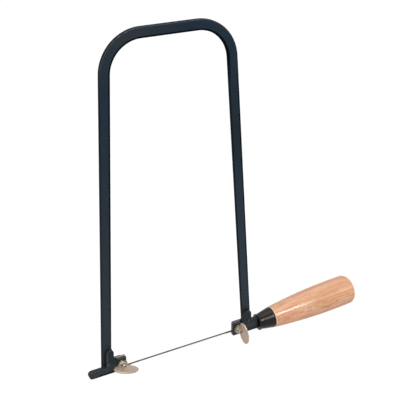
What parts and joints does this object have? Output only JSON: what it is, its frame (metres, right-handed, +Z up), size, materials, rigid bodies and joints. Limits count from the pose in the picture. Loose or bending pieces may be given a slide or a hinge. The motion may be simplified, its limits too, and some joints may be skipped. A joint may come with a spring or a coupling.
{
  "type": "fret saw",
  "caption": "Deep-throat fret saw: bent flat-bar bow, clamp brackets with wing screws and loose jaws, a fine plain-end blade and a turned wooden handle.",
  "frame": {"origin": "the middle of the blade's bare length, half way through its thickness and its height", "axes": "+X along the blade towards the handle, +Z up through the throat to the top bar, -Y the way the wing screws face"},
  "size_m": [0.2917, 0.0345, 0.3207],
  "materials": {
    "bow_paint": "blue-black enamel, satin, worn a little at the edges",
    "bracket_paint": "blue-black enamel over a rough forging",
    "jaw_steel": "zinc plated and dulled",
    "screw_plate": "warm nickel plate, satin",
    "wing_plate": "warm nickel plate, satin, with fine rubbing marks",
    "blade_steel": "hardened blade steel, dark",
    "ferrule_black": "black gloss lacquer",
    "handle_wood": "beech, clear lacquer"
  },
  "bodies": {
    "root": {"frame_bow": "bow_paint", "front_bracket": "bracket_paint", "front_rivet": "bracket_paint", "rear_bracket": "bracket_paint", "rear_rivet": "bracket_paint", "blade": "blade_steel", "handle_ferrule": "ferrule_black", "wooden_handle": "handle_wood"},
    "front_clamp": {"front_loose_jaw": "jaw_steel"},
    "front_screw": {"front_clamp_screw": "screw_plate", "front_screw_wing": "wing_plate"},
    "rear_clamp": {"rear_loose_jaw": "jaw_steel"},
    "rear_screw": {"rear_clamp_screw": "screw_plate", "rear_screw_wing": "wing_plate"}
  },
  "joints": [
    {"name": "front_jaw_slide", "type": "slide", "parent": "root", "child": "front_clamp", "axis": [0, -1, 0], "range_m": [0, 0.00161]},
    {"name": "front_screw_turn", "type": "hinge", "parent": "front_clamp", "child": "front_screw", "pos_m": [-0.0609, -0.008, 0.0064], "axis": [0, -1, 0], "range_deg": [0, 720]},
    {"name": "rear_jaw_slide", "type": "slide", "parent": "root", "child": "rear_clamp", "axis": [0, -1, 0], "range_m": [0, 0.00161]},
    {"name": "rear_screw_turn", "type": "hinge", "parent": "rear_clamp", "child": "rear_screw", "pos_m": [0.0623, -0.008, 0.0038], "axis": [0, -1, 0], "range_deg": [0, 720]}
  ],
  "couplings": [
    {"joint": "front_jaw_slide", "follows": "front_screw_turn", "m_per_rad": 0.00012732},
    {"joint": "rear_jaw_slide", "follows": "rear_screw_turn", "m_per_rad": 0.00012732}
  ]
}
